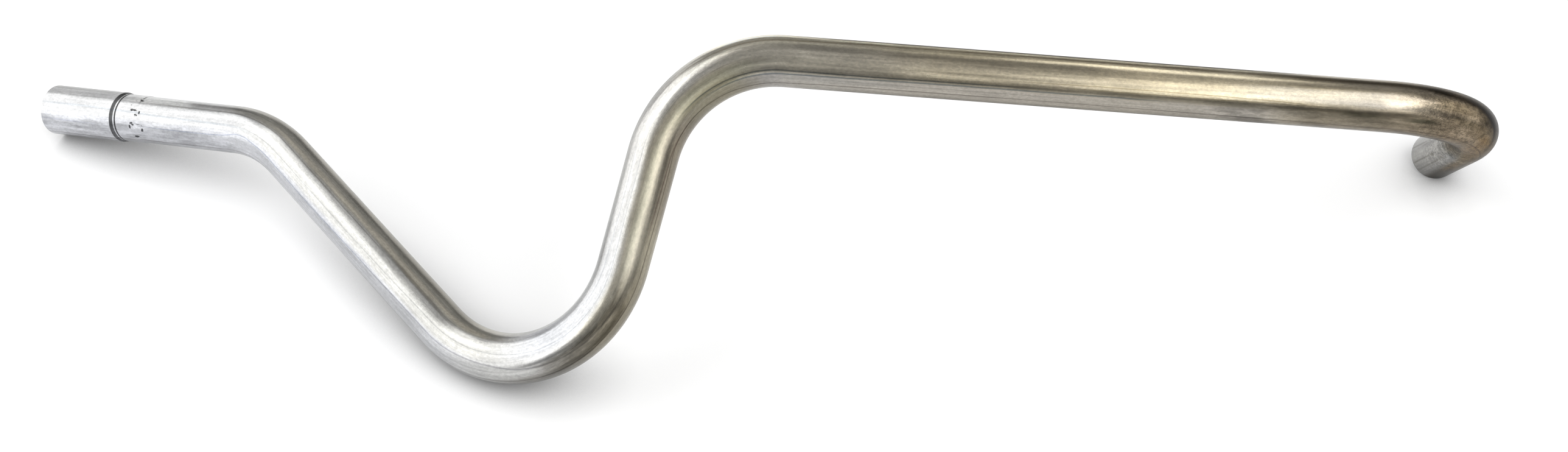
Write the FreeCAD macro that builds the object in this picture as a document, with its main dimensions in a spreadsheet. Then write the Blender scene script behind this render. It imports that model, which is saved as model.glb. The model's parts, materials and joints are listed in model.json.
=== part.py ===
import FreeCAD, Part
import Sketcher
import math
import os

# Intermediate exhaust pipe: one steel tube with a formed slip socket, bent cold at four places.
# The mouth of the socket is the datum. The first run leaves it along the body's own +Z axis, and the
# finished pipe is then laid on the floor the way it comes to rest.

NODE = "intermediate_pipe"

# Driving sizes in millimetres, angles in degrees
SIZES = [
    ("tube_diameter", 45.0),
    ("wall", 1.5),
    ("bend_radius", 110.0),
    # Straight runs between the bends, from the socket's mouth to the plain end
    ("neck_run", 220.0),
    ("drop_run", 235.0),
    ("riser_run", 100.0),
    ("long_run", 520.0),
    ("tail_run", 80.0),
    # How far each bend turns the tube
    ("neck_bend_angle", 35.0),
    ("low_bend_angle", 117.0),
    ("high_bend_angle", 79.0),
    ("tail_bend_angle", 90.0),
    # How far the tube is rolled about its own axis before each bend
    ("neck_bend_roll", 0.0),
    ("low_bend_roll", 180.0),
    ("high_bend_roll", -157.0),
    ("tail_bend_roll", 81.0),
    # Formed end: socket, shoulder with its crease, and the sizing collar behind it
    ("socket_bore", 45.3),
    ("socket_length", 85.0),
    ("shoulder_length", 5.5),
    ("crease_depth", 0.2),
    ("crease_width", 1.0),
    ("collar_diameter", 45.8),
    ("collar_length", 22.0),
    ("collar_fade", 2.5),
    # Both ends are sawn square and deburred
    ("edge_break", 0.3),
]

# The bends in the order they are made, each with the straight run that follows it
BENDS = [
    ("neck_bend", "drop_run"),
    ("low_bend", "riser_run"),
    ("high_bend", "long_run"),
    ("tail_bend", "tail_run"),
]

SETTLE_ROUNDS = 30
VOLUME_TOLERANCE = 1e-4


def addSizes(doc):
    sheet = doc.addObject("Spreadsheet::Sheet", "sizes")
    for row, (alias, value) in enumerate(SIZES, start=1):
        sheet.set(f"A{row}", alias)
        sheet.set(f"B{row}", str(value))
        sheet.setAlias(f"B{row}", alias)
    doc.recompute()
    return sheet


def originPlane(body, role):
    return next(feature for feature in body.Origin.OriginFeatures if feature.Role == role)


def attachSketch(body, name, role):
    sketch = body.newObject("Sketcher::SketchObject", name)
    sketch.AttachmentSupport = (originPlane(body, role), [""])
    sketch.MapMode = "FlatFace"
    return sketch


def bindConstraint(sketch, name, constraint, expression):
    index = sketch.addConstraint(constraint)
    sketch.renameConstraint(index, name)
    sketch.setExpression(f"Constraints.{name}", expression)


# The wall's half section at the formed end, as (name, radius, distance from the mouth).
# It runs up the outside from the mouth to the first bend and comes back down the inside.
def neckCorners():
    tubeOuter = "sizes.tube_diameter / 2"
    tubeInner = f"{tubeOuter} - sizes.wall"
    socketInner = "sizes.socket_bore / 2"
    socketOuter = f"{socketInner} + sizes.wall"
    collarOuter = "sizes.collar_diameter / 2"
    collarInner = f"{collarOuter} - sizes.wall"
    shoulderEnd = "sizes.socket_length + sizes.shoulder_length"
    collarStart = f"{shoulderEnd} + sizes.crease_width"
    collarEnd = f"{collarStart} + sizes.collar_length"
    return [
        ("mouth_inside", f"{socketInner} + sizes.edge_break", None),
        ("mouth_outside", f"{socketOuter} - sizes.edge_break", None),
        ("socket_edge", socketOuter, "sizes.edge_break"),
        ("shoulder_start", socketOuter, "sizes.socket_length"),
        ("crease_bottom", f"{collarOuter} - sizes.crease_depth", shoulderEnd),
        ("collar_start", collarOuter, collarStart),
        ("collar_end", collarOuter, collarEnd),
        ("tube_start", tubeOuter, f"{collarEnd} + sizes.collar_fade"),
        ("run_end_outside", tubeOuter, "sizes.neck_run"),
        ("run_end_inside", tubeInner, "sizes.neck_run"),
        ("tube_start_inside", tubeInner, f"{collarEnd} + sizes.collar_fade"),
        ("collar_end_inside", collarInner, collarEnd),
        ("collar_start_inside", collarInner, collarStart),
        ("socket_end_inside", socketInner, "sizes.socket_length"),
        ("socket_edge_inside", socketInner, "sizes.edge_break"),
    ]


def shoulderArc(start, end):
    # Leaves the socket's wall in line with it and reaches the crease
    drop = start.x - end.x
    length = end.y - start.y
    radius = (length ** 2 + drop ** 2) / (2 * drop)
    centre = FreeCAD.Vector(start.x - radius, start.y, 0)
    circle = Part.Circle(centre, FreeCAD.Vector(0, 0, 1), radius)
    return Part.ArcOfCircle(circle, 0, math.asin(length / radius))


def addNeck(body):
    sketch = attachSketch(body, "neck_section", "XZ_Plane")
    corners = neckCorners()
    points = []
    for name, across, along in corners:
        height = 0 if along is None else sketch.evalExpression(along)
        points.append(FreeCAD.Vector(sketch.evalExpression(across), height, 0))
    shoulder = [corner[0] for corner in corners].index("shoulder_start")
    for index, start in enumerate(points):
        end = points[(index + 1) % len(points)]
        if index == shoulder:
            sketch.addGeometry(shoulderArc(start, end))
        else:
            sketch.addGeometry(Part.LineSegment(start, end))
    for index in range(len(corners)):
        # The socket's wall runs smoothly into the shoulder, the other corners are sharp
        joint = "Tangent" if index + 1 == shoulder else "Coincident"
        sketch.addConstraint(Sketcher.Constraint(joint, index, 2, (index + 1) % len(corners), 1))
    for index, (name, across, along) in enumerate(corners):
        width = Sketcher.Constraint("DistanceX", -1, 1, index, 1, points[index].x)
        bindConstraint(sketch, f"{name}_radius", width, across)
        if along is None:
            sketch.addConstraint(Sketcher.Constraint("PointOnObject", index, 1, -1))
        else:
            reach = Sketcher.Constraint("DistanceY", -1, 1, index, 1, points[index].y)
            bindConstraint(sketch, f"{name}_reach", reach, along)
    neck = body.newObject("PartDesign::Revolution", "neck")
    neck.Profile = sketch
    neck.ReferenceAxis = (sketch, ["V_Axis"])
    neck.Angle = 360
    sketch.Visibility = False
    return neck


# The tube's cross section at one station. The station's +Z runs along the tube and its +X points to
# the inside of the coming bend.
def addRing(body, name, station):
    sketch = attachSketch(body, name, "XY_Plane")
    outer = sketch.evalExpression("sizes.tube_diameter / 2")
    inner = sketch.evalExpression("sizes.tube_diameter / 2 - sizes.wall")
    for radius in (outer, inner):
        sketch.addGeometry(Part.Circle(FreeCAD.Vector(0, 0, 0), FreeCAD.Vector(0, 0, 1), radius))
    for index in range(2):
        sketch.addConstraint(Sketcher.Constraint("Coincident", index, 3, -1, 1))
    outside = Sketcher.Constraint("Radius", 0, outer)
    bindConstraint(sketch, "outside", outside, "sizes.tube_diameter / 2")
    inside = Sketcher.Constraint("Radius", 1, inner)
    bindConstraint(sketch, "inside", inside, "sizes.tube_diameter / 2 - sizes.wall")
    sketch.setExpression("AttachmentOffset", station)
    return sketch


def addBendAxis(sketch):
    radius = sketch.evalExpression("sizes.bend_radius")
    start = FreeCAD.Vector(radius, 0, 0)
    end = FreeCAD.Vector(radius, radius, 0)
    line = sketch.addGeometry(Part.LineSegment(start, end), True)
    sketch.addConstraint(Sketcher.Constraint("PointOnObject", line, 1, -1))
    sketch.addConstraint(Sketcher.Constraint("Vertical", line))
    reach = Sketcher.Constraint("DistanceX", -1, 1, line, 1, radius)
    bindConstraint(sketch, "axis_reach", reach, "sizes.bend_radius")
    height = Sketcher.Constraint("DistanceY", line, 1, line, 2, radius)
    bindConstraint(sketch, "axis_height", height, "sizes.bend_radius")


def addBend(body, name, previous, run):
    roll = f"rotation(vector(0; 0; 1); sizes.{name}_roll)"
    station = f"placement(vector(0; 0; sizes.{run}); {roll})"
    if previous is not None:
        station = f"{previous.Name}.AttachmentOffset * {station}"
    sketch = addRing(body, f"{name}_section", station)
    addBendAxis(sketch)
    bend = body.newObject("PartDesign::Revolution", name)
    bend.Profile = sketch
    bend.ReferenceAxis = (sketch, ["Axis0"])
    bend.setExpression("Angle", f"sizes.{name}_angle")
    sketch.Visibility = False
    return sketch


def addRun(body, name, bend, bendSketch):
    turn = f"placement(vector(sizes.bend_radius; 0; 0); rotation(vector(0; 1; 0); sizes.{bend}_angle))"
    back = "placement(vector(-sizes.bend_radius; 0; 0); rotation(vector(0; 0; 1); 0))"
    station = f"{bendSketch.Name}.AttachmentOffset * {turn} * {back}"
    sketch = addRing(body, f"{name}_section", station)
    run = body.newObject("PartDesign::Pad", name)
    run.Profile = sketch
    run.setExpression("Length", f"sizes.{name}")
    sketch.Visibility = False
    return sketch


def addPlainEnd(doc, body, sheet, sketch):
    # Breaks the two rims of the square-cut end
    doc.recompute()
    tail = body.getObject("tail_run")
    mouth = sketch.Placement.multVec(FreeCAD.Vector(0, 0, sheet.tail_run))
    rims = []
    for index, edge in enumerate(tail.Shape.Edges, start=1):
        if edge.Curve.TypeId == "Part::GeomCircle" and edge.Curve.Center.distanceToPoint(mouth) < sheet.wall:
            rims.append(f"Edge{index}")
    chamfer = body.newObject("PartDesign::Chamfer", "plain_end")
    chamfer.Base = (tail, rims)
    chamfer.setExpression("Size", "sizes.edge_break")


def buildPipe(doc, sheet):
    body = doc.addObject("PartDesign::Body", NODE)
    body.Label = NODE
    addNeck(body)
    stations = {}
    previous = None
    run = "neck_run"
    for bend, following in BENDS:
        stations[bend] = addBend(body, bend, previous, run)
        previous = addRun(body, following, bend, stations[bend])
        stations[following] = previous
        run = following
    addPlainEnd(doc, body, sheet, previous)
    doc.recompute()
    return body, stations


def ringSupport(centre, axis, radius, down):
    # Lowest point of a circle, for a given downward direction
    across = down - axis * down.dot(axis)
    across.normalize()
    return centre + across * radius


# The pipe rests on three things: the rim of the socket, the outside of the low bend and the rim of
# the plain end. The floor is the plane that touches all three.
def restingDown(sheet, stations):
    alongTube = FreeCAD.Vector(0, 0, 1)
    socketRadius = sheet.socket_bore / 2 + sheet.wall
    socketCentre = FreeCAD.Vector(0, 0, sheet.edge_break)
    low = stations["low_bend"].Placement
    lowCentre = low.multVec(FreeCAD.Vector(sheet.bend_radius, 0, 0))
    lowAxis = low.Rotation.multVec(FreeCAD.Vector(0, 1, 0))
    tail = stations["tail_run"].Placement
    tailCentre = tail.multVec(FreeCAD.Vector(0, 0, sheet.tail_run - sheet.edge_break))
    tailAxis = tail.Rotation.multVec(alongTube)
    tubeRadius = sheet.tube_diameter / 2

    down = (lowCentre - socketCentre).cross(tailCentre - socketCentre)
    down.normalize()
    if down.dot(stations["high_bend"].Placement.Base - socketCentre) > 0:
        down = down * -1
    for count in range(SETTLE_ROUNDS):
        socketPoint = ringSupport(socketCentre, alongTube, socketRadius, down)
        lowPoint = ringSupport(lowCentre, lowAxis, sheet.bend_radius, down) + down * tubeRadius
        tailPoint = ringSupport(tailCentre, tailAxis, tubeRadius, down)
        floor = (lowPoint - socketPoint).cross(tailPoint - socketPoint)
        floor.normalize()
        down = floor if floor.dot(down) > 0 else floor * -1
    return down


def layDown(body, sheet, stations):
    # Floor at Z = 0, long run along +X as seen from above, footprint centred on the origin
    up = restingDown(sheet, stations) * -1
    forward = stations["long_run"].Placement.Rotation.multVec(FreeCAD.Vector(0, 0, 1))
    forward = forward - up * forward.dot(up)
    forward.normalize()
    turn = FreeCAD.Rotation(forward, up.cross(forward), up, "ZXY").inverted()
    body.Placement = FreeCAD.Placement(FreeCAD.Vector(0, 0, 0), turn)
    box = body.Shape.optimalBoundingBox(False, False)
    shift = FreeCAD.Vector(-box.Center.x, -box.Center.y, -box.ZMin)
    body.Placement = FreeCAD.Placement(shift, turn)


def expectedVolume(sheet, body):
    outer = sheet.tube_diameter / 2
    section = math.pi * (outer ** 2 - (outer - sheet.wall) ** 2)
    length = sum(getattr(sheet, run) for bend, run in BENDS)
    length += sum(math.radians(getattr(sheet, f"{bend}_angle")) * sheet.bend_radius for bend, run in BENDS)
    # The broken edges of the plain end take a small ring off each rim
    brokenEdges = math.pi * sheet.edge_break ** 2 * (2 * outer - sheet.wall)
    return body.getObject("neck").Shape.Volume + section * length - brokenEdges


def checkModel(doc, sheet, body):
    for item in doc.Objects:
        if "Invalid" in item.State or "Error" in item.State:
            raise RuntimeError(f"{item.Name} failed: {item.State}")
    shape = body.Shape
    if shape.isNull() or not shape.isValid() or len(shape.Solids) != 1:
        raise RuntimeError(f"{body.Label} is not one valid solid")
    expected = expectedVolume(sheet, body)
    if abs(shape.Volume / expected - 1) > VOLUME_TOLERANCE:
        raise RuntimeError(f"volume {shape.Volume:.0f} differs from {expected:.0f}")


def main():
    doc = FreeCAD.newDocument("intermediate_pipe_model")
    sheet = addSizes(doc)
    body, stations = buildPipe(doc, sheet)
    layDown(body, sheet, stations)
    checkModel(doc, sheet, body)
    os.makedirs("parts", exist_ok=True)
    body.Shape.exportStep(f"parts/{body.Label}.step")
    box = body.Shape.optimalBoundingBox(False, False)
    print(f"{body.Label}: {box.XLength:.1f} x {box.YLength:.1f} x {box.ZLength:.1f} mm")
    print(f"steel {body.Shape.Volume / 1000:.1f} cm3, {len(body.Shape.Faces)} faces")


main()
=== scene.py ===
import json
import math

import bmesh
import bpy
from mathutils import Matrix, Vector


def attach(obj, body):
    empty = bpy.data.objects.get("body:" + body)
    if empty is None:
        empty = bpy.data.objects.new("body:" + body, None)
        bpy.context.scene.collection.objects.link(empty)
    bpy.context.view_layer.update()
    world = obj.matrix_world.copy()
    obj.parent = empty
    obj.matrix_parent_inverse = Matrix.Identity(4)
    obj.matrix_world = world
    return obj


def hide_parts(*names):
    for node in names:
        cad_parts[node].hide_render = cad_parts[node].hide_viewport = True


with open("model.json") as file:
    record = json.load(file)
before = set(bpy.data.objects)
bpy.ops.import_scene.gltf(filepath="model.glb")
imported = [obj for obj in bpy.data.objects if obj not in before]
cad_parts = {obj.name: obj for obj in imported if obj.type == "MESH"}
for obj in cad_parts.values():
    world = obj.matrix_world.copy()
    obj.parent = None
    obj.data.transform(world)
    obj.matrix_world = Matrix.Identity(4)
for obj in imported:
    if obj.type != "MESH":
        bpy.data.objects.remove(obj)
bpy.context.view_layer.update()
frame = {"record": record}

# Lengths are in metres and angles in degrees. The pipe is made the way the shop makes it: a straight
# blank with its socket formed, then bent at four places, then laid down where the frame has it.
pipe = {
    "tubeDiameter": 0.045,
    "wall": 0.0015,
    "bendRadius": 0.110,
    "neckRun": 0.220,
    "bends": [
        {"name": "neck", "turn": 35, "roll": 0, "nextRun": 0.235},
        {"name": "low", "turn": 117, "roll": 180, "nextRun": 0.100},
        {"name": "high", "turn": 79, "roll": -157, "nextRun": 0.520},
        {"name": "tail", "turn": 90, "roll": 81, "nextRun": 0.080},
    ],
    "socketBore": 0.0453,
    "socketLength": 0.085,
    # The outline of the shoulder: how far past the socket, and how far below its outside
    "shoulderShape": [
        (0.0005, 0.00002), (0.0010, 0.00013), (0.0015, 0.00036), (0.0030, 0.00108), (0.0036, 0.00122),
        (0.0042, 0.00125), (0.0049, 0.00122), (0.0054, 0.00128), (0.0058, 0.00156), (0.0062, 0.00158),
        (0.0068, 0.00130), (0.0074, 0.00125),
    ],
    "nearCorner": 0.0004,  # a ring this close to a corner keeps it crisp
    "collarDiameter": 0.0458,
    "collarLength": 0.022,
    "collarFade": 0.0012,  # from the collar down to the tube
    "edgeBreak": 0.0003,  # at both ends, inside and outside
    "facetsAround": 120,
    "runSpacing": 0.008,
    "bendSpacing": 0.004,
    "insideRunSpacing": 0.024,
    "insideBendSpacing": 0.012,
    "smoothBelow": 30,  # faces that meet at a sharper angle show an edge
    # Dents that the forming tool left beside the collar, in millimetres and degrees round the tube. One
    # with a depth below zero stands proud of the tube.
    "marks": [
        {"along": 115.6, "angle": 222, "length": 6.0, "width": 3.6, "lean": 18, "depth": 0.80},
        {"along": 110.5, "angle": 227, "length": 5.0, "width": 2.2, "lean": 0, "depth": 0.14},
        {"along": 107.2, "angle": 240, "length": 2.4, "width": 1.8, "lean": 0, "depth": 0.20},
        {"along": 110.2, "angle": 254, "length": 4.6, "width": 3.2, "lean": 0, "depth": 0.75},
        {"along": 113.6, "angle": 254, "length": 6.0, "width": 2.3, "lean": 4, "depth": 0.75},
        {"along": 117.3, "angle": 259, "length": 5.6, "width": 6.0, "lean": 0, "depth": -0.45},
        {"along": 119.6, "angle": 259, "length": 2.2, "width": 5.2, "lean": 0, "depth": 0.45},
        {"along": 116.3, "angle": 266, "length": 5.4, "width": 2.4, "lean": 20, "depth": 0.45},
        {"along": 111.4, "angle": 287, "length": 5.0, "width": 2.6, "lean": -12, "depth": 0.75},
        {"along": 113.2, "angle": 291, "length": 4.0, "width": 2.4, "lean": 0, "depth": 0.65},
        {"along": 109.4, "angle": 297, "length": 2.8, "width": 5.8, "lean": 0, "depth": 0.65},
        {"along": 119.0, "angle": 289, "length": 9.0, "width": 1.5, "lean": 0, "depth": 0.24},
        {"along": 117.0, "angle": 302, "length": 13.0, "width": 10.0, "lean": 0, "depth": -0.50},
        {"along": 123.7, "angle": 303, "length": 3.4, "width": 5.0, "lean": 15, "depth": 0.90},
        {"along": 123.8, "angle": 292, "length": 2.6, "width": 3.0, "lean": 0, "depth": 0.20},
        {"along": 114.0, "angle": 324, "length": 7.0, "width": 3.8, "lean": 0, "depth": 0.80},
    ],
    # Where the mesh is refined for the marks, and how far past that they may still reach
    "markedLength": (0.104, 0.128),
    "markedAngles": (212, 336),
    "markMargin": (0.001, 4),
    "markSpacing": 0.001,
    "markCuts": 3,
    # Painted shade in the crease and a painted dark reflection on the shoulder band: they are as dark as
    # marks of this many millimetres
    "creaseLength": (0.0900, 0.0921),
    "creasePaintedShade": 0.30,
    "shoulderLength": (0.0853, 0.0890),
    "shoulderPaintedShade": 0.27,
}

fullTurn = 360  # degrees
perMetre = 1000  # millimetres


def blankLength():
    total = pipe["neckRun"]
    for bend in pipe["bends"]:
        total += math.radians(bend["turn"]) * pipe["bendRadius"] + bend["nextRun"]
    return total


# Where each bend starts and ends along the straight blank, with its direction round the tube
def bendStations():
    stations = []
    start = pipe["neckRun"]
    side = 0
    for bend in pipe["bends"]:
        side += bend["roll"]
        end = start + math.radians(bend["turn"]) * pipe["bendRadius"]
        stations.append({"start": start, "end": end, "side": math.radians(side)})
        start = end + bend["nextRun"]
    return stations


# Outside of the blank, as (distance from the mouth, radius)
def outsideProfile():
    socketRadius = pipe["socketBore"] / 2 + pipe["wall"]
    collarRadius = pipe["collarDiameter"] / 2
    tubeRadius = pipe["tubeDiameter"] / 2
    socketEnd = pipe["socketLength"]
    length = blankLength()
    edge = pipe["edgeBreak"]
    near = pipe["nearCorner"]
    profile = [
        (0, socketRadius - edge),
        (edge, socketRadius),
        (edge + near, socketRadius),
        (socketEnd - near, socketRadius),
        (socketEnd, socketRadius),
    ]
    for past, lower in pipe["shoulderShape"]:
        profile.append((socketEnd + past, socketRadius - lower))
    collarEnd = profile[-1][0] + pipe["collarLength"]
    profile += [
        (collarEnd - near, collarRadius),
        (collarEnd, collarRadius),
        (collarEnd + pipe["collarFade"], tubeRadius),
        (collarEnd + pipe["collarFade"] + near, tubeRadius),
        (length - edge - near, tubeRadius),
        (length - edge, tubeRadius),
        (length, tubeRadius - edge),
    ]
    return profile


# Inside of the blank, from the plain end back to the mouth
def insideProfile():
    wall = pipe["wall"]
    edge = pipe["edgeBreak"]
    length = blankLength()
    tubeRadius = pipe["tubeDiameter"] / 2 - wall
    collarRadius = pipe["collarDiameter"] / 2 - wall
    socketRadius = pipe["socketBore"] / 2
    socketEnd = pipe["socketLength"]
    collarStart = socketEnd + pipe["shoulderShape"][-1][0]
    collarEnd = collarStart + pipe["collarLength"]
    return [
        (length, tubeRadius + edge),
        (length - edge, tubeRadius),
        (collarEnd + pipe["collarFade"], tubeRadius),
        (collarEnd, collarRadius),
        (collarStart, collarRadius),
        (socketEnd, socketRadius),
        (edge, socketRadius),
        (0, socketRadius + edge),
    ]


# Adds rings between the corners of a profile, closer together in the bends and closest at the marks
def fillProfile(profile, runSpacing, bendSpacing, fineLength=()):
    bends = bendStations()
    filled = [profile[0]]
    for (fromAlong, fromRadius), (toAlong, toRadius) in zip(profile, profile[1:]):
        low, high = min(fromAlong, toAlong), max(fromAlong, toAlong)
        stops = {low, high}
        for bend in bends:
            stops.update(stop for stop in (bend["start"], bend["end"]) if low < stop < high)
        stops.update(stop for stop in fineLength if low < stop < high)
        stops = sorted(stops)
        between = []
        for first, last in zip(stops, stops[1:]):
            middle = (first + last) / 2
            spacing = runSpacing
            if any(bend["start"] < middle < bend["end"] for bend in bends):
                spacing = bendSpacing
            if fineLength and fineLength[0] < middle < fineLength[1]:
                spacing = pipe["markSpacing"]
            count = max(1, round((last - first) / spacing))
            between += [first + (last - first) * step / count for step in range(1, count + 1)]
        # The inside runs back to the mouth
        if toAlong < fromAlong:
            between = [low] + between[:-1]
            between.reverse()
        for along in between:
            share = (along - fromAlong) / (toAlong - fromAlong)
            filled.append((along, fromRadius + (toRadius - fromRadius) * share))
    return filled


# The blank is its closed wall section spun once round the tube's axis
def makeBlank(bm):
    outside = fillProfile(outsideProfile(), pipe["runSpacing"], pipe["bendSpacing"], pipe["markedLength"])
    inside = fillProfile(insideProfile(), pipe["insideRunSpacing"], pipe["insideBendSpacing"])
    wall = [bm.verts.new((radius, 0, along)) for along, radius in outside + inside]
    section = [bm.edges.new((wall[index - 1], wall[index])) for index in range(len(wall))]
    bmesh.ops.spin(
        bm, geom=wall + section, cent=(0, 0, 0), axis=(0, 0, 1), angle=math.tau,
        steps=pipe["facetsAround"], use_merge=True,
    )
    bmesh.ops.recalc_face_normals(bm, faces=bm.faces)


# Radius of the outside at one place on the blank
def outsideRadius(along):
    profile = outsideProfile()
    for (fromAlong, fromRadius), (toAlong, toRadius) in zip(profile, profile[1:]):
        if along <= toAlong:
            return fromRadius + (toRadius - fromRadius) * (along - fromAlong) / (toAlong - fromAlong)
    return profile[-1][1]


# Degrees round the tube, from nothing to a full turn
def angleRound(point):
    return math.degrees(math.atan2(point.y, point.x)) % fullTurn


# True for what lies on the outer side of the wall
def isOutside(point):
    return math.hypot(point.x, point.y) > pipe["tubeDiameter"] / 2 - pipe["wall"] / 2


# True where the tool marks are, or within a margin of that
def nearMarks(point, lengthMargin=0, angleMargin=0):
    start, end = pipe["markedLength"]
    first, last = pipe["markedAngles"]
    inLength = start - lengthMargin < point.z < end + lengthMargin
    return inLength and first - angleMargin < angleRound(point) < last + angleMargin


# How deep the tool marks go at one place on the blank, in metres
def markDepth(along, angle):
    radius = pipe["tubeDiameter"] / 2
    depth = 0
    for mark in pipe["marks"]:
        lengthwise = along - mark["along"] / perMetre
        crosswise = math.radians(angle - mark["angle"]) * radius
        lean = math.radians(mark["lean"])
        turned = lengthwise * math.cos(lean) + crosswise * math.sin(lean)
        across = crosswise * math.cos(lean) - lengthwise * math.sin(lean)
        halfLength = mark["length"] / 2 / perMetre
        halfWidth = mark["width"] / 2 / perMetre
        reach = math.hypot(turned / halfLength, across / halfWidth)
        if reach < 1:
            depth += mark["depth"] / perMetre * (1 - reach * reach) ** 2
    return depth


# Refines the outside beside the collar and presses the tool marks into it
def pressMarks(bm, marking):
    edges = []
    for face in bm.faces:
        middle = face.calc_center_median()
        if isOutside(middle) and nearMarks(middle):
            edges += face.edges
    edges = list(dict.fromkeys(edges))
    bmesh.ops.subdivide_edges(bm, edges=edges, cuts=pipe["markCuts"], use_grid_fill=True)
    creaseStart, creaseEnd = pipe["creaseLength"]
    shoulderStart, shoulderEnd = pipe["shoulderLength"]
    for vert in bm.verts:
        if not isOutside(vert.co):
            continue
        along = vert.co.z
        if nearMarks(vert.co, *pipe["markMargin"]):
            depth = markDepth(along, angleRound(vert.co))
            scale = (outsideRadius(along) - depth) / math.hypot(vert.co.x, vert.co.y)
            vert.co.x *= scale
            vert.co.y *= scale
            vert[marking] = depth * perMetre
        # The crease and the shoulder band are not pressed in; they only take painted shade and a painted
        # reflection
        elif creaseStart < along < creaseEnd:
            vert[marking] = pipe["creasePaintedShade"]
        elif shoulderStart < along < shoulderEnd:
            vert[marking] = pipe["shoulderPaintedShade"]


# Each bend swings everything beyond its start, from the plain end back to the socket
def bendBlank(bm, blank):
    radius = pipe["bendRadius"]
    for bend in reversed(bendStations()):
        inward = Vector((math.cos(bend["side"]), math.sin(bend["side"]), 0))
        centre = inward * radius + Vector((0, 0, bend["start"]))
        axis = Vector((0, 0, 1)).cross(inward)
        swings = {}  # one for each ring
        for vert in bm.verts:
            along = vert[blank].z
            if along > bend["start"]:
                arc = min(along, bend["end"]) - bend["start"]
                if arc not in swings:
                    swings[arc] = (
                        Matrix.Translation(centre) @ Matrix.Rotation(arc / radius, 4, axis)
                        @ Matrix.Translation(-centre) @ Matrix.Translation((0, 0, -arc))
                    )
                vert.co = swings[arc] @ vert.co


# Lays the bent pipe so that its two ends meet the frame's two mounts
def layPipe(bm, plainEnd):
    mounts = {mount["name"]: mount for mount in frame["record"]["mounts"]}
    socket = Vector(mounts["slip_socket"]["pos_m"])
    alongNeck = -Vector(mounts["slip_socket"]["axis"])
    target = Vector(mounts["plain_end"]["pos_m"]) - socket
    swing = Vector((0, 0, 1)).rotation_difference(alongNeck)
    reached = swing @ plainEnd
    flatReached = reached - alongNeck * reached.dot(alongNeck)
    flatTarget = target - alongNeck * target.dot(alongNeck)
    angle = flatReached.angle(flatTarget)
    if alongNeck.dot(flatReached.cross(flatTarget)) < 0:
        angle = -angle
    turn = Matrix.Rotation(angle, 4, alongNeck) @ swing.to_matrix().to_4x4()
    bm.transform(Matrix.Translation(socket) @ turn @ Matrix.Translation((0, 0, -pipe["edgeBreak"])))
    return (turn @ plainEnd - target).length


def makePipe():
    bm = bmesh.new()
    # Each vertex remembers its place on the straight blank, so that the steel's pattern follows the tube
    blank = bm.verts.layers.float_vector.new("blank")
    marking = bm.verts.layers.float.new("marking")
    makeBlank(bm)
    pressMarks(bm, marking)
    for face in bm.faces:
        face.smooth = True
    for edge in bm.edges:
        edge.smooth = edge.calc_face_angle(0) < math.radians(pipe["smoothBelow"])
    # A marker on the axis travels with the tube. Both mounts start where the broken edge ends.
    plainEnd = bm.verts.new((0, 0, blankLength() - pipe["edgeBreak"]))
    for vert in bm.verts:
        vert[blank] = vert.co
    bendBlank(bm, blank)
    reached = plainEnd.co - Vector((0, 0, pipe["edgeBreak"]))
    bm.verts.remove(plainEnd)
    miss = layPipe(bm, reached)
    mesh = bpy.data.meshes.new("intermediatePipe")
    bm.to_mesh(mesh)
    bm.free()
    obj = bpy.data.objects.new("intermediatePipe", mesh)
    bpy.context.scene.collection.objects.link(obj)
    print(f"pipe: {len(mesh.polygons)} faces, ends {miss * perMetre:.3f} mm from the mount")
    return obj


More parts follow.
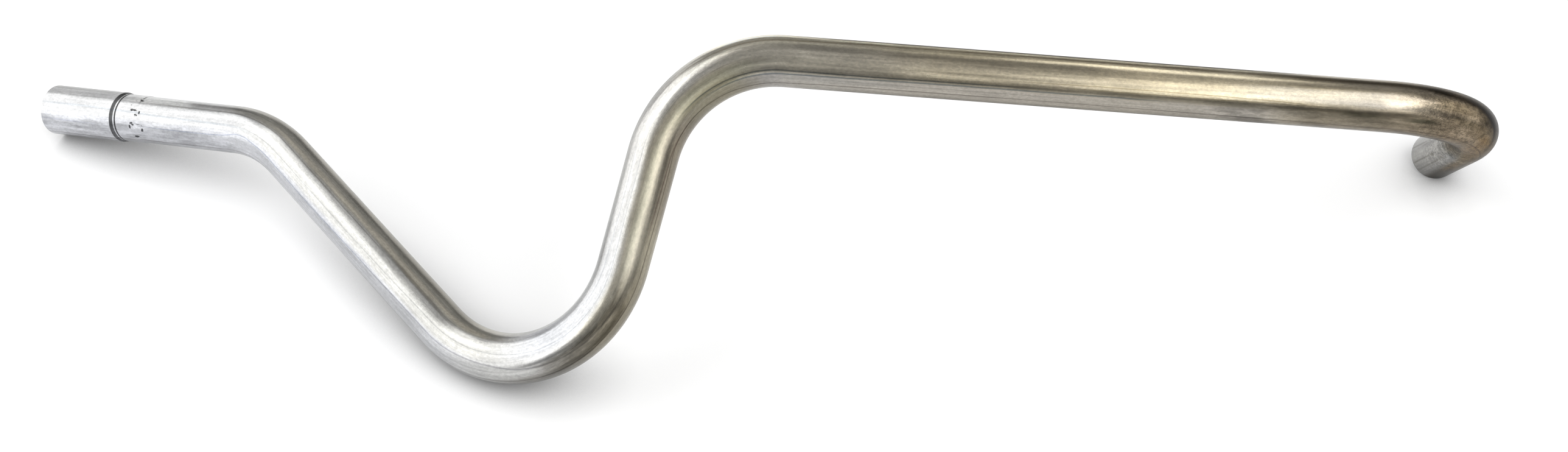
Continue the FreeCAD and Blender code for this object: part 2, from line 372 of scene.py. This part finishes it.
# Colours are linear. Along the tube the steel goes from cool grey at the socket to bronze at the tail.
steel = {
    "tint": [
        (0.000, (0.530, 0.533, 0.534)),
        (0.250, (0.498, 0.501, 0.502)),
        (0.500, (0.478, 0.480, 0.474)),
        (0.650, (0.498, 0.496, 0.484)),
        (0.800, (0.508, 0.496, 0.458)),
        (0.900, (0.480, 0.460, 0.412)),
        (1.000, (0.412, 0.385, 0.322)),
        (1.100, (0.385, 0.352, 0.285)),
        (1.300, (0.385, 0.350, 0.278)),
        (1.400, (0.330, 0.302, 0.246)),
        (1.500, (0.300, 0.270, 0.218)),
        (1.600, (0.304, 0.242, 0.174)),
        (1.662, (0.275, 0.236, 0.182)),
        (1.688, (0.266, 0.258, 0.242)),
        (1.772, (0.268, 0.264, 0.252)),
    ],
    # Patches where the colour is multiplied. Most are painted reflections, painted highlights and painted
    # shade on one side or another of the tube; a few are the steel's real brown heat film at the tail.
    # Each has metres along, degrees round, the width of its soft edges, and what the colour is multiplied
    # by
    "filmAndPaintedLight": [
        {"along": (0.200, 0.560, 0.030), "angle": (140, 198, 8), "shade": (0.56, 0.55, 0.54)},
        {"along": (-0.10, 0.230, 0.020), "angle": (300, 420, 12), "shade": (0.90, 0.90, 0.91)},
        {"along": (0.600, 0.990, 0.035), "angle": (328, 420, 8), "shade": (0.60, 0.59, 0.56)},
        {"along": (0.640, 0.735, 0.022), "angle": (301, 342, 5), "shade": (0.52, 0.50, 0.465)},
        {"along": (1.430, 1.570, 0.030), "angle": (310, 420, 8), "shade": (0.60, 0.58, 0.54)},
        {"along": (1.480, 1.512, 0.010), "angle": (315, 325, 4), "shade": (0.66, 0.68, 0.65)},
        {"along": (1.528, 1.556, 0.010), "angle": (317, 328, 4), "shade": (0.50, 0.54, 0.52)},
        {"along": (1.568, 1.600, 0.012), "angle": (298, 316, 6), "shade": (0.74, 0.74, 0.70)},
        {"along": (1.555, 1.600, 0.012), "angle": (264, 296, 6), "shade": (1.92, 1.88, 1.76)},
        {"along": (1.560, 1.692, 0.020), "angle": (300, 380, 10), "shade": (0.88, 0.85, 0.80)},
        {"along": (1.590, 1.690, 0.015), "angle": (190, 300, 8), "shade": (0.32, 0.31, 0.28)},
        {"along": (1.592, 1.690, 0.015), "angle": (300, 335, 6), "shade": (0.72, 0.70, 0.64)},
        {"along": (1.610, 1.728, 0.012), "angle": (320, 396, 10), "shade": (1.20, 1.03, 0.80)},
        {"along": (1.548, 1.610, 0.012), "angle": (196, 238, 6), "shade": (0.68, 0.67, 0.63)},
        {"along": (1.646, 1.690, 0.012), "angle": (396, 460, 10), "shade": (1.45, 1.45, 1.42)},
        {"along": (1.696, 1.800, 0.008), "angle": (325, 399, 10), "shade": (0.70, 0.67, 0.63)},
        {"along": (1.694, 1.800, 0.008), "angle": (410, 462, 10), "shade": (1.24, 1.24, 1.23)},
        {"along": (0.895, 0.975, 0.015), "angle": (288, 312, 5), "shade": (0.74, 0.76, 0.76)},
        {"along": (0.880, 1.000, 0.020), "angle": (326, 420, 6), "shade": (0.97, 0.99, 1.10)},
        {"along": (0.886, 0.962, 0.018), "angle": (309, 420, 5), "shade": (0.77, 0.78, 0.72)},
        {"along": (0.980, 1.100, 0.020), "angle": (326, 342, 5), "shade": (0.84, 0.85, 0.86)},
        {"along": (1.713, 1.720, 0.003), "angle": (434, 441, 3), "shade": (0.62, 0.60, 0.56)},
        {"along": (1.694, 1.701, 0.004), "angle": (417, 424, 4), "shade": (0.72, 0.70, 0.66)},
        {"along": (0.920, 1.450, 0.030), "angle": (222, 256, 6), "shade": (1.55, 1.55, 1.50)},
        {"along": (0.925, 1.030, 0.030), "angle": (192, 233, 6), "shade": (1.55, 1.55, 1.54)},
        {"along": (1.040, 1.400, 0.030), "angle": (224, 236, 3), "shade": (1.66, 1.66, 1.64)},
        {"along": (0.945, 1.000, 0.012), "angle": (192, 233, 5), "shade": (1.30, 1.30, 1.29)},
        {"along": (0.635, 0.945, 0.020), "angle": (217, 236, 4), "shade": (0.75, 0.75, 0.75)},
        {"along": (1.000, 1.280, 0.030), "angle": (255, 270, 4), "shade": (0.76, 0.76, 0.77)},
        {"along": (1.450, 1.530, 0.020), "angle": (196, 236, 6), "shade": (1.45, 1.45, 1.42)},
        {"along": (1.280, 1.560, 0.040), "angle": (260, 290, 8), "shade": (1.28, 1.26, 1.20)},
        {"along": (0.230, 0.600, 0.030), "angle": (140, 230, 6), "shade": (1.03, 0.99, 0.88)},
        {"along": (0.270, 0.575, 0.020), "angle": (213, 226, 5), "shade": (1.34, 1.30, 1.24)},
        {"along": (-0.10, 0.085, 0.010), "angle": (140, 210, 6), "shade": (0.60, 0.60, 0.59)},
        {"along": (0.105, 0.172, 0.010), "angle": (202, 232, 5), "shade": (1.28, 1.28, 1.26)},
        {"along": (0.175, 0.235, 0.008), "angle": (207, 226, 5), "shade": (0.60, 0.59, 0.58)},
        {"along": (-0.10, 0.560, 0.030), "angle": (280, 420, 7), "shade": (0.99, 1.00, 1.045)},
        {"along": (0.610, 0.735, 0.025), "angle": (318, 420, 8), "shade": (0.76, 0.75, 0.74)},
        {"along": (0.960, 1.130, 0.040), "angle": (226, 312, 6), "shade": (1.12, 1.12, 1.11)},
        {"along": (0.250, 0.600, 0.030), "angle": (234, 280, 5), "shade": (1.01, 1.00, 0.965)},
        {"along": (0.745, 0.960, 0.020), "angle": (294, 309, 4), "shade": (0.98, 1.00, 0.98)},
        {"along": (1.040, 1.420, 0.030), "angle": (140, 226, 3), "shade": (0.46, 0.46, 0.45)},
        {"along": (1.285, 1.430, 0.060), "angle": (295, 309, 5), "shade": (1.72, 1.71, 1.63)},
        {"along": (0.950, 1.180, 0.030), "angle": (299, 313, 4), "shade": (1.26, 1.26, 1.25)},
        {"along": (1.110, 1.340, 0.060), "angle": (284, 301, 6), "shade": (0.78, 0.78, 0.78)},
        {"along": (1.400, 1.535, 0.030), "angle": (270, 302, 5), "shade": (0.98, 1.02, 1.12)},
        {"along": (0.620, 0.930, 0.030), "angle": (215, 277, 7), "shade": (1.02, 1.04, 1.10)},
        {"along": (0.670, 0.960, 0.030), "angle": (285, 420, 7), "shade": (1.05, 1.00, 0.87)},
        {"along": (1.000, 1.420, 0.030), "angle": (326, 420, 5), "shade": (0.97, 0.99, 1.08)},
        {"along": (1.100, 1.500, 0.050), "angle": (238, 318, 8), "shade": (1.04, 1.01, 0.93)},
        {"along": (1.585, 1.690, 0.020), "angle": (262, 420, 8), "shade": (0.96, 1.00, 1.06)},
        {"along": (0.840, 0.910, 0.020), "angle": (180, 220, 4), "shade": (0.54, 0.54, 0.54)},
        {"along": (0.790, 0.900, 0.020), "angle": (324, 420, 5), "shade": (0.76, 0.74, 0.76)},
        {"along": (0.980, 1.200, 0.030), "angle": (270, 287, 4), "shade": (1.10, 1.10, 1.12)},
        {"along": (1.516, 1.556, 0.012), "angle": (286, 314, 6), "shade": (1.75, 1.74, 1.68)},
        {"along": (0.850, 0.905, 0.015), "angle": (261, 275, 4), "shade": (1.24, 1.24, 1.22)},
        {"along": (1.604, 1.650, 0.012), "angle": (250, 306, 8), "shade": (0.66, 0.65, 0.64)},
        {"along": (1.558, 1.590, 0.012), "angle": (266, 290, 8), "shade": (1.12, 1.10, 1.04)},
        {"along": (0.630, 0.695, 0.015), "angle": (280, 292, 4), "shade": (1.38, 1.38, 1.39)},
    ],
    # Fine lines that drawing and bending left, and bands that are painted reflections, such as the dark
    # bands along the long run and at the tail bend's outer edge. Each is a path of (metres along, degrees
    # round) with its width to each side in degrees
    "lines": [
        {"path": [(0.000, 258), (0.085, 259), (0.150, 263), (0.240, 266)],
         "width": 4.0, "shade": (0.86, 0.89, 0.92)},
        {"path": [(0.240, 263), (0.440, 264), (0.540, 260), (0.590, 262), (0.700, 272), (0.860, 271)],
         "width": 1.8, "shade": (0.80, 0.81, 0.82)},
        {"path": [(0.000, 296), (0.060, 298)],
         "width": 3.0, "shade": (0.86, 0.87, 0.92)},
        {"path": [(0.135, 293), (0.220, 291), (0.244, 281), (0.262, 287), (0.440, 288)],
         "width": 2.2, "shade": (0.72, 0.75, 0.82)},
        {"path": [(0.440, 289), (0.540, 286), (0.590, 289), (0.620, 300), (0.665, 309), (0.720, 316)],
         "width": 3.4, "shade": (0.66, 0.66, 0.68)},
        {"path": [(0.130, 229), (0.240, 231), (0.330, 232), (0.440, 234)],
         "width": 2.6, "shade": (0.68, 0.67, 0.65)},
        {"path": [(0.440, 228), (0.540, 232)],
         "width": 7.0, "shade": (0.62, 0.60, 0.57)},
        {"path": [(0.700, 250), (0.780, 256), (0.830, 254), (0.860, 250)],
         "width": 2.4, "shade": (0.84, 0.85, 0.87)},
        {"path": [(0.920, 325), (1.000, 326), (1.100, 324), (1.320, 323)],
         "width": 3.2, "shade": (0.46, 0.51, 0.57)},
        {"path": [(0.890, 314), (0.960, 317), (1.200, 316)],
         "width": 2.6, "shade": (0.46, 0.50, 0.54)},
        {"path": [(0.780, 336), (0.830, 338), (0.880, 342)],
         "width": 3.0, "shade": (0.58, 0.53, 0.54)},
        {"path": [(1.030, 334), (1.230, 335)],
         "width": 1.6, "shade": (0.82, 0.82, 0.82)},
        {"path": [(0.920, 243), (0.990, 244), (1.060, 239), (1.300, 238), (1.560, 241)],
         "width": 5.0, "shade": (0.74, 0.71, 0.67)},
        {"path": [(1.210, 303), (1.420, 304), (1.450, 307)],
         "width": 1.4, "shade": (0.70, 0.67, 0.60)},
        {"path": [(1.250, 310), (1.470, 309)],
         "width": 1.2, "shade": (0.80, 0.77, 0.70)},
        {"path": [(1.430, 238), (1.500, 238), (1.555, 240)],
         "width": 14.0, "shade": (0.50, 0.47, 0.41)},
        {"path": [(1.548, 240), (1.595, 256), (1.610, 268), (1.628, 292), (1.634, 312), (1.640, 330)],
         "width": 18.0, "shade": (0.17, 0.15, 0.12), "fade": 0.014},
        {"path": [(1.705, 420), (1.771, 419)],
         "width": 3.0, "shade": (0.72, 0.71, 0.69), "fade": 0.010},
        {"path": [(1.725, 439), (1.771, 440)],
         "width": 3.0, "shade": (0.66, 0.65, 0.62), "fade": 0.010},
        {"path": [(1.715, 469), (1.740, 470)],
         "width": 2.6, "shade": (0.68, 0.67, 0.65), "fade": 0.010},
        {"path": [(1.730, 476), (1.771, 477)],
         "width": 3.4, "shade": (0.62, 0.61, 0.58), "fade": 0.010},
    ],
    "seam": {
        "path": [
            (0.000, 340), (0.600, 334), (0.680, 339), (0.730, 343), (0.830, 346), (0.865, 342),
            (0.930, 347), (0.970, 353), (1.035, 350), (1.240, 349), (1.500, 354), (1.771, 356),
        ],
        "width": 2.6,
        "shade": (0.60, 0.58, 0.58),
    },
    # A line is full up to this share of its width, fades out over so many metres at its ends, and
    # wanders from its path by so many degrees
    "lineCore": 0.2,
    "lineFade": 0.030,
    "lineWander": 3,
    # How bright the steel's edge stays where it is seen at a shallow angle: (metres along, share)
    "edge": [
        (0.000, 1.0), (0.950, 1.0), (1.060, 0.5), (1.390, 0.5), (1.460, 1.0), (1.520, 0.9), (1.570, 0.6),
        (1.630, 0.5), (1.675, 0.4), (1.698, 0.9), (1.772, 1.0),
    ],
    # Painted shade: the tail's edge is darker still next to the floor, standing in for the shadowed floor
    # that it mirrors there
    "shaded": {"along": (1.690, 1.800, 0.008), "angle": (300, 398, 12), "share": 0.42},
    # Smudges on the lower side, with how dark and how light they go
    "smudges": [
        {"along": (-0.10, 0.235, 0.015), "angle": (284, 420, 8), "tint": (0.72, 1.16)},
        {"along": (0.640, 0.735, 0.015), "angle": (297, 342, 6), "tint": (0.62, 1.28)},
        {"along": (1.360, 1.575, 0.030), "angle": (304, 420, 5), "tint": (0.66, 1.24)},
    ],
    "smudgeRange": (0.36, 0.64),
    # The bronze bend: where it is, its blotches, and the thin worm-like marks on it
    "mottled": (1.540, 1.735, 0.020),
    "blotchRange": (0.34, 0.66),
    "blotchTint": (0.66, 1.32),
    "wormWidth": 0.07,
    "wormTint": (1.1, 0.72),
    # How dark and how light three of the patterns go, while their noise goes over its range
    "noiseRange": (0.3, 0.7),
    "streakTint": (0.82, 1.12),
    "cloudTint": (0.89, 1.10),
    "grainTint": (0.84, 1.14),
    # The edges of the painted light and film patches, and the bronze bend's edges, wander by so many
    # metres along and degrees round
    "patchWander": (0.040, 14),
    # Pressed places, the crease and the shoulder band get painted shade over this range of depth in
    # millimetres, and are duller
    "pressedRange": (0.03, 0.30),
    "pressedDark": 0.78,
    "pressedRoughness": 0.2,
    "roughness": 0.25,
    "streakRoughness": 0.05,
    "cloudRoughness": 0.04,
    # A duller stretch, where the long highlight is wide and soft
    "dull": {"along": (0.730, 0.950, 0.030), "angle": (286, 326, 8), "roughness": 0.08},
    # Heights in metres
    "scratchHeight": 0.000015,
    "cloudHeight": 0.00020,
    "wormHeight": -0.00002,
    "seamHeight": -0.00003,
    # The noise behind each pattern. A squeeze below one along the tube draws the pattern out that way.
    "patterns": {
        "drift": {"squeeze": 0.3, "scale": 60, "detail": 4, "roughness": 0.6},
        "streak": {"squeeze": 0.035, "scale": 420, "detail": 4, "roughness": 0.6},
        "hair": {"squeeze": 0.02, "scale": 1500, "detail": 2, "roughness": 0.5},
        "cloud": {"squeeze": 0.5, "scale": 45, "detail": 3, "roughness": 0.55},
        "grain": {"squeeze": 0.6, "scale": 480, "detail": 3, "roughness": 0.75},
        "smudge": {"squeeze": 0.25, "scale": 90, "detail": 4, "roughness": 0.65},
        "curl": {"squeeze": 0.8, "scale": 200, "detail": 2, "roughness": 0.5, "distortion": 1.6},
        "blotch": {"scale": 190, "detail": 4, "roughness": 0.8},
    },
    # The count of degrees round the tube starts here, on the side that the photograph doesn't show
    "firstAngle": 150,
}


def joinValue(tree, socket, value):
    if isinstance(value, bpy.types.NodeSocket):
        tree.links.new(value, socket)
    else:
        socket.default_value = value


def calculate(tree, operation, *values, clamp=False):
    node = tree.nodes.new("ShaderNodeMath")
    node.operation = operation
    node.use_clamp = clamp
    for socket, value in zip(node.inputs, values):
        joinValue(tree, socket, value)
    return node.outputs[0]


# Goes from one value to another while its input goes from start to end. A smooth one stays between the
# two by itself, so only a straight one is clamped.
def fade(tree, value, start, end, low=0.0, high=1.0, smooth=True):
    node = tree.nodes.new("ShaderNodeMapRange")
    node.interpolation_type = "SMOOTHSTEP" if smooth else "LINEAR"
    node.clamp = not smooth
    joinValue(tree, node.inputs["Value"], value)
    node.inputs["From Min"].default_value = start
    node.inputs["From Max"].default_value = end
    node.inputs["To Min"].default_value = low
    node.inputs["To Max"].default_value = high
    return node.outputs["Result"]


def noise(tree, place, name):
    pattern = steel["patterns"][name]
    if "squeeze" in pattern:
        squeeze = tree.nodes.new("ShaderNodeMapping")
        tree.links.new(place, squeeze.inputs["Vector"])
        squeeze.inputs["Scale"].default_value = (1, 1, pattern["squeeze"])
        place = squeeze.outputs["Vector"]
    node = tree.nodes.new("ShaderNodeTexNoise")
    tree.links.new(place, node.inputs["Vector"])
    node.inputs["Scale"].default_value = pattern["scale"]
    node.inputs["Detail"].default_value = pattern["detail"]
    node.inputs["Roughness"].default_value = pattern["roughness"]
    node.inputs["Distortion"].default_value = pattern.get("distortion", 0)
    return node.outputs["Fac"]


# Noise lies round a half, so this is how far it is to either side
def fromMiddle(tree, value):
    return calculate(tree, "SUBTRACT", value, 0.5)


# The steel's own colour along the tube. The places are set before the colours, because a ramp sorts
# its stops.
def tintAlong(tree, along):
    length = blankLength()
    node = tree.nodes.new("ShaderNodeValToRGB")
    tree.links.new(calculate(tree, "DIVIDE", along, length), node.inputs["Fac"])
    ramp = node.color_ramp
    while len(ramp.elements) < len(steel["tint"]):
        ramp.elements.new(0.5)
    for element, (place, tint) in zip(ramp.elements, steel["tint"]):
        element.position = min(place / length, 1)
    for element, (place, tint) in zip(ramp.elements, steel["tint"]):
        element.color = (*tint, 1)
    return node.outputs["Color"]


# A smooth curve along the tube through points (metres along, value)
def valueAlong(tree, along, path, lowest=0, highest=1):
    length = blankLength()
    node = tree.nodes.new("ShaderNodeFloatCurve")
    tree.links.new(calculate(tree, "DIVIDE", along, length), node.inputs["Value"])
    points = node.mapping.curves[0].points
    while len(points) < len(path):
        points.new(0.5, 0.5)
    for point, (place, value) in zip(points, path):
        point.location = (min(place / length, 1), (value - lowest) / (highest - lowest))
        point.handle_type = "AUTO"
    node.mapping.update()
    return calculate(tree, "MULTIPLY_ADD", node.outputs[0], highest - lowest, lowest)


def shadeColour(tree, colour, amount):
    node = tree.nodes.new("ShaderNodeVectorMath")
    node.operation = "SCALE"
    tree.links.new(colour, node.inputs[0])
    joinValue(tree, node.inputs["Scale"], amount)
    return node.outputs[0]


# The colour sockets of the Mix node are its inputs 6 and 7 and its output 2
def multiplyColour(tree, colour, shade, share):
    node = tree.nodes.new("ShaderNodeMix")
    node.data_type = "RGBA"
    node.blend_type = "MULTIPLY"
    joinValue(tree, node.inputs["Factor"], share)
    tree.links.new(colour, node.inputs[6])
    node.inputs[7].default_value = (*shade, 1)
    return node.outputs[2]


# One inside a range and zero outside it, with soft edges: (from, to, softness)
def within(tree, value, span):
    low, high, soft = span
    half = (high - low) / 2
    offset = calculate(tree, "ABSOLUTE", calculate(tree, "SUBTRACT", value, low + half))
    return fade(tree, offset, half - soft, half + soft, 1, 0)


# One in a patch of the tube and zero outside it
def inPatch(tree, along, angle, patch):
    lengthwise = within(tree, along, patch["along"])
    crosswise = within(tree, angle, patch["angle"])
    return calculate(tree, "MULTIPLY", lengthwise, crosswise)


# One on a line and zero beside it
def onLine(tree, along, angle, line):
    path, width = line["path"], line["width"]
    centre = valueAlong(tree, along, path, steel["firstAngle"], steel["firstAngle"] + fullTurn)
    offset = calculate(tree, "ABSOLUTE", calculate(tree, "SUBTRACT", angle, centre))
    beside = fade(tree, offset, width * steel["lineCore"], width, 1, 0)
    start, end = path[0][0], path[-1][0]
    between = within(tree, along, (start, end, line.get("fade", steel["lineFade"])))
    return calculate(tree, "MULTIPLY", beside, between)


def makeSteel():
    material = bpy.data.materials.new("tubeSteel")
    material.use_nodes = True
    tree = material.node_tree
    shader = tree.nodes["Principled BSDF"]
    blank = tree.nodes.new("ShaderNodeAttribute")
    blank.attribute_name = "blank"
    place = blank.outputs["Vector"]
    split = tree.nodes.new("ShaderNodeSeparateXYZ")
    tree.links.new(place, split.inputs[0])
    along = split.outputs["Z"]
    # Degrees round the tube, from firstAngle to a full turn more
    turn = calculate(tree, "ARCTAN2", split.outputs["Y"], split.outputs["X"])
    angle = calculate(tree, "MULTIPLY_ADD", turn, math.degrees(1), 2 * fullTurn - steel["firstAngle"])
    angle = calculate(tree, "MODULO", angle, fullTurn)
    angle = calculate(tree, "ADD", angle, steel["firstAngle"])
    marking = tree.nodes.new("ShaderNodeAttribute")
    marking.attribute_name = "marking"

    # The patches of painted light and film have edges that wander along and round the tube, and lines
    # wander a little too
    colour = tintAlong(tree, along)
    drift = fromMiddle(tree, noise(tree, place, "drift"))
    wanderingAlong = calculate(tree, "MULTIPLY_ADD", drift, steel["patchWander"][0], along)
    wanderingAngle = calculate(tree, "MULTIPLY_ADD", drift, steel["patchWander"][1], angle)
    # Each patch multiplies the colour: most are painted reflections, highlights and shade, a few the
    # brown heat film
    for patch in steel["filmAndPaintedLight"]:
        share = inPatch(tree, wanderingAlong, wanderingAngle, patch)
        colour = multiplyColour(tree, colour, patch["shade"], share)

    lineAngle = calculate(tree, "MULTIPLY_ADD", drift, steel["lineWander"], angle)
    # Drawing lines, and the bands of painted reflection
    for line in steel["lines"]:
        colour = multiplyColour(tree, colour, line["shade"], onLine(tree, along, lineAngle, line))
    seam = onLine(tree, along, lineAngle, steel["seam"])
    colour = multiplyColour(tree, colour, steel["seam"]["shade"], seam)

    # Drawing streaks run along the tube; clouds are the uneven film on it; grain is the fine speckle
    streak = noise(tree, place, "streak")
    hair = noise(tree, place, "hair")
    cloud = noise(tree, place, "cloud")
    grain = noise(tree, place, "grain")
    for pattern, tint in ((streak, "streakTint"), (cloud, "cloudTint"), (grain, "grainTint")):
        amount = fade(tree, pattern, *steel["noiseRange"], *steel[tint], smooth=False)
        colour = shadeColour(tree, colour, amount)

    smudging = fade(tree, noise(tree, place, "smudge"), *steel["smudgeRange"])
    for smudge in steel["smudges"]:
        low, high = smudge["tint"]
        share = inPatch(tree, along, angle, smudge)
        shift = calculate(tree, "MULTIPLY_ADD", smudging, high - low, low - 1)
        colour = shadeColour(tree, colour, calculate(tree, "MULTIPLY_ADD", shift, share, 1))

    # The bronze bend is blotched, with thin worm-like marks all over it
    curl = fromMiddle(tree, noise(tree, place, "curl"))
    worm = fade(tree, calculate(tree, "ABSOLUTE", curl), 0, steel["wormWidth"], 1, 0)
    blotch = noise(tree, place, "blotch")
    onBend = within(tree, wanderingAlong, steel["mottled"])
    blotchShade = fade(tree, blotch, *steel["blotchRange"], *steel["blotchTint"])
    wormShade = fade(tree, worm, 0, 1, *steel["wormTint"])
    mottling = calculate(tree, "MULTIPLY", blotchShade, wormShade)
    amount = calculate(tree, "MULTIPLY_ADD", calculate(tree, "SUBTRACT", mottling, 1), onBend, 1)
    colour = shadeColour(tree, colour, amount)

    # Painted shade: the tool marks and the crease are darker where they go in, and the shoulder band's
    # darkness is a painted reflection
    pressed = fade(tree, marking.outputs["Fac"], *steel["pressedRange"])
    amount = calculate(tree, "MULTIPLY_ADD", pressed, -steel["pressedDark"], 1)
    colour = shadeColour(tree, colour, amount)
    tree.links.new(colour, shader.inputs["Base Color"])

    # The edge's colour is what the steel shows at a shallow angle
    # Painted shade where the tail's edge mirrors the shadowed floor beside it
    share = inPatch(tree, along, angle, steel["shaded"])
    keep = calculate(tree, "MULTIPLY_ADD", share, -steel["shaded"]["share"], 1)
    edge = calculate(tree, "MULTIPLY", valueAlong(tree, along, steel["edge"]), keep)
    tree.links.new(edge, shader.inputs["Specular Tint"])

    # Streaks and clouds make the roughness go up and down about its middle
    lowest = steel["roughness"] - steel["streakRoughness"]
    roughness = calculate(tree, "MULTIPLY_ADD", streak, steel["streakRoughness"] * 2, lowest)
    uneven = calculate(tree, "MULTIPLY_ADD", cloud, steel["cloudRoughness"] * 2, -steel["cloudRoughness"])
    roughness = calculate(tree, "ADD", roughness, uneven)
    roughness = calculate(tree, "MULTIPLY_ADD", pressed, steel["pressedRoughness"], roughness)
    share = inPatch(tree, along, angle, steel["dull"])
    roughness = calculate(tree, "MULTIPLY_ADD", share, steel["dull"]["roughness"], roughness)
    tree.links.new(roughness, shader.inputs["Roughness"])
    shader.inputs["Metallic"].default_value = 1

    # Fine scratches, the film's unevenness, the worm-like marks and the seam stand up or go in a little
    relief = calculate(tree, "MULTIPLY", calculate(tree, "ADD", hair, streak), steel["scratchHeight"])
    relief = calculate(tree, "MULTIPLY_ADD", cloud, steel["cloudHeight"], relief)
    worms = calculate(tree, "MULTIPLY", worm, onBend)
    relief = calculate(tree, "MULTIPLY_ADD", worms, steel["wormHeight"], relief)
    relief = calculate(tree, "MULTIPLY_ADD", seam, steel["seamHeight"], relief)
    bump = tree.nodes.new("ShaderNodeBump")
    bump.inputs["Strength"].default_value = 1
    bump.inputs["Distance"].default_value = 1
    tree.links.new(relief, bump.inputs["Height"])
    tree.links.new(bump.outputs["Normal"], shader.inputs["Normal"])
    print(f"steel: {len(steel['filmAndPaintedLight'])} patches and {len(steel['lines'])} lines")
    return material


# The floor is a plain pale sheet. Where it is seen it glows a little, and away from the pipe it goes to
# white. Close under the pipe, where the tube hides most of the room from it, it is darker.
floor = {
    "halfSize": 12,
    "colour": 0.88,
    "glow": 0.21,
    "hiddenWithin": 0.055,
    "hiddenShade": 0.25,
    "hiddenSamples": 8,
    "whiteFrom": 1.5,
    "whiteTo": 2.6,
}


def makeFloor():
    bm = bmesh.new()
    bmesh.ops.create_grid(bm, x_segments=1, y_segments=1, size=floor["halfSize"])
    mesh = bpy.data.meshes.new("studioFloor")
    bm.to_mesh(mesh)
    bm.free()
    obj = bpy.data.objects.new("studioFloor", mesh)
    bpy.context.scene.collection.objects.link(obj)
    material = bpy.data.materials.new("paleFloor")
    material.use_nodes = True
    tree = material.node_tree
    nodes, links = tree.nodes, tree.links
    nodes.clear()
    paint = nodes.new("ShaderNodeBsdfDiffuse")
    hidden = nodes.new("ShaderNodeAmbientOcclusion")
    hidden.samples = floor["hiddenSamples"]
    hidden.inputs["Distance"].default_value = floor["hiddenWithin"]
    shade = fade(tree, hidden.outputs["AO"], 0, 1, floor["hiddenShade"], 1)
    links.new(calculate(tree, "MULTIPLY", shade, floor["colour"]), paint.inputs["Color"])
    path = nodes.new("ShaderNodeLightPath")
    seen = calculate(tree, "ADD", path.outputs["Is Camera Ray"], path.outputs["Is Glossy Ray"])
    seen = calculate(tree, "ADD", seen, path.outputs["Is Transmission Ray"], clamp=True)
    glow = nodes.new("ShaderNodeEmission")
    glowing = calculate(tree, "MULTIPLY", shade, floor["glow"])
    links.new(calculate(tree, "MULTIPLY", seen, glowing), glow.inputs["Strength"])
    near = nodes.new("ShaderNodeAddShader")
    links.new(paint.outputs[0], near.inputs[0])
    links.new(glow.outputs[0], near.inputs[1])
    place = nodes.new("ShaderNodeTexCoord")
    distance = nodes.new("ShaderNodeVectorMath")
    distance.operation = "LENGTH"
    links.new(place.outputs["Object"], distance.inputs[0])
    white = nodes.new("ShaderNodeEmission")
    away = fade(tree, distance.outputs["Value"], floor["whiteFrom"], floor["whiteTo"])
    both = nodes.new("ShaderNodeMixShader")
    links.new(calculate(tree, "MULTIPLY", away, seen), both.inputs["Fac"])
    links.new(near.outputs[0], both.inputs[1])
    links.new(white.outputs[0], both.inputs[2])
    output = nodes.new("ShaderNodeOutputMaterial")
    links.new(both.outputs[0], output.inputs["Surface"])
    obj.data.materials.append(material)
    print("floor: ready")


# The room round the pipe is dim at the horizon and lighter overhead
room = {"horizon": 0.18, "overhead": 0.51}


def makeWorld():
    world = bpy.data.worlds.new("studio")
    bpy.context.scene.world = world
    world.use_nodes = True
    tree = world.node_tree
    background = tree.nodes["Background"]
    direction = tree.nodes.new("ShaderNodeTexCoord")
    split = tree.nodes.new("ShaderNodeSeparateXYZ")
    tree.links.new(direction.outputs["Generated"], split.inputs[0])
    light = fade(tree, split.outputs["Z"], 0, 1, room["horizon"], room["overhead"], smooth=False)
    tree.links.new(light, background.inputs["Color"])
    print("room: ready")


# Soft panels, all aimed at the middle of the pipe: place and size in metres, power in watts
studio = {
    "aim": (0, 0, 0.1),
    "lamps": [
        {"name": "leftWall", "place": (-2.47, -0.42, 1.38), "size": (5.60, 3.05), "power": 90.5},
        {"name": "rightFront", "place": (1.22, -0.52, 1.57), "size": (1.77, 1.10), "power": 15.2},
        {"name": "backStrip", "place": (0.59, 0.69, 0.88), "size": (0.37, 0.24), "power": 0.6},
        {"name": "overheadLeft", "place": (-1.36, 0.58, 2.31), "size": (1.77, 0.68), "power": 7.2},
        {"name": "backLeft", "place": (-2.54, 3.00, 0.82), "size": (1.29, 1.61), "power": 4.3},
        {"name": "rightSpot", "place": (1.70, -1.72, 1.10), "size": (0.74, 0.21), "power": 0.9},
        {"name": "frontSpot", "place": (0.90, -1.74, 1.33), "size": (0.70, 0.88), "power": 3.1},
    ],
}


def makeLamps():
    for lamp in studio["lamps"]:
        light = bpy.data.lights.new(lamp["name"], "AREA")
        light.shape = "RECTANGLE"
        light.size, light.size_y = lamp["size"]
        light.energy = lamp["power"]
        obj = bpy.data.objects.new(lamp["name"], light)
        bpy.context.scene.collection.objects.link(obj)
        obj.location = lamp["place"]
        aim = Vector(studio["aim"]) - obj.location
        obj.rotation_euler = aim.to_track_quat("-Z", "Y").to_euler()
    print(f"lamps: {len(studio['lamps'])}")


# The camera stands where the pipe's outline is the photograph's: sensor and lens in millimetres
shot = {
    "sensor": 36,
    "lens": 44.498,
    "place": (0.1392, -1.14857, 1.40312),
    "turn": (40.383, 1.231, 3.150),
}


def makeCamera():
    data = bpy.data.cameras.new("camera")
    data.sensor_width = shot["sensor"]
    data.lens = shot["lens"]
    camera = bpy.data.objects.new("camera", data)
    bpy.context.scene.collection.objects.link(camera)
    camera.location = shot["place"]
    camera.rotation_euler = [math.radians(degrees) for degrees in shot["turn"]]
    bpy.context.scene.camera = camera
    print("camera: ready")


pipeObject = makePipe()
pipeObject.data.materials.append(makeSteel())
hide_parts("intermediate_pipe")
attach(pipeObject, "root")
makeFloor()
makeWorld()
makeLamps()
makeCamera()
bpy.context.scene.view_settings.view_transform = "Standard"
print("scene: ready")
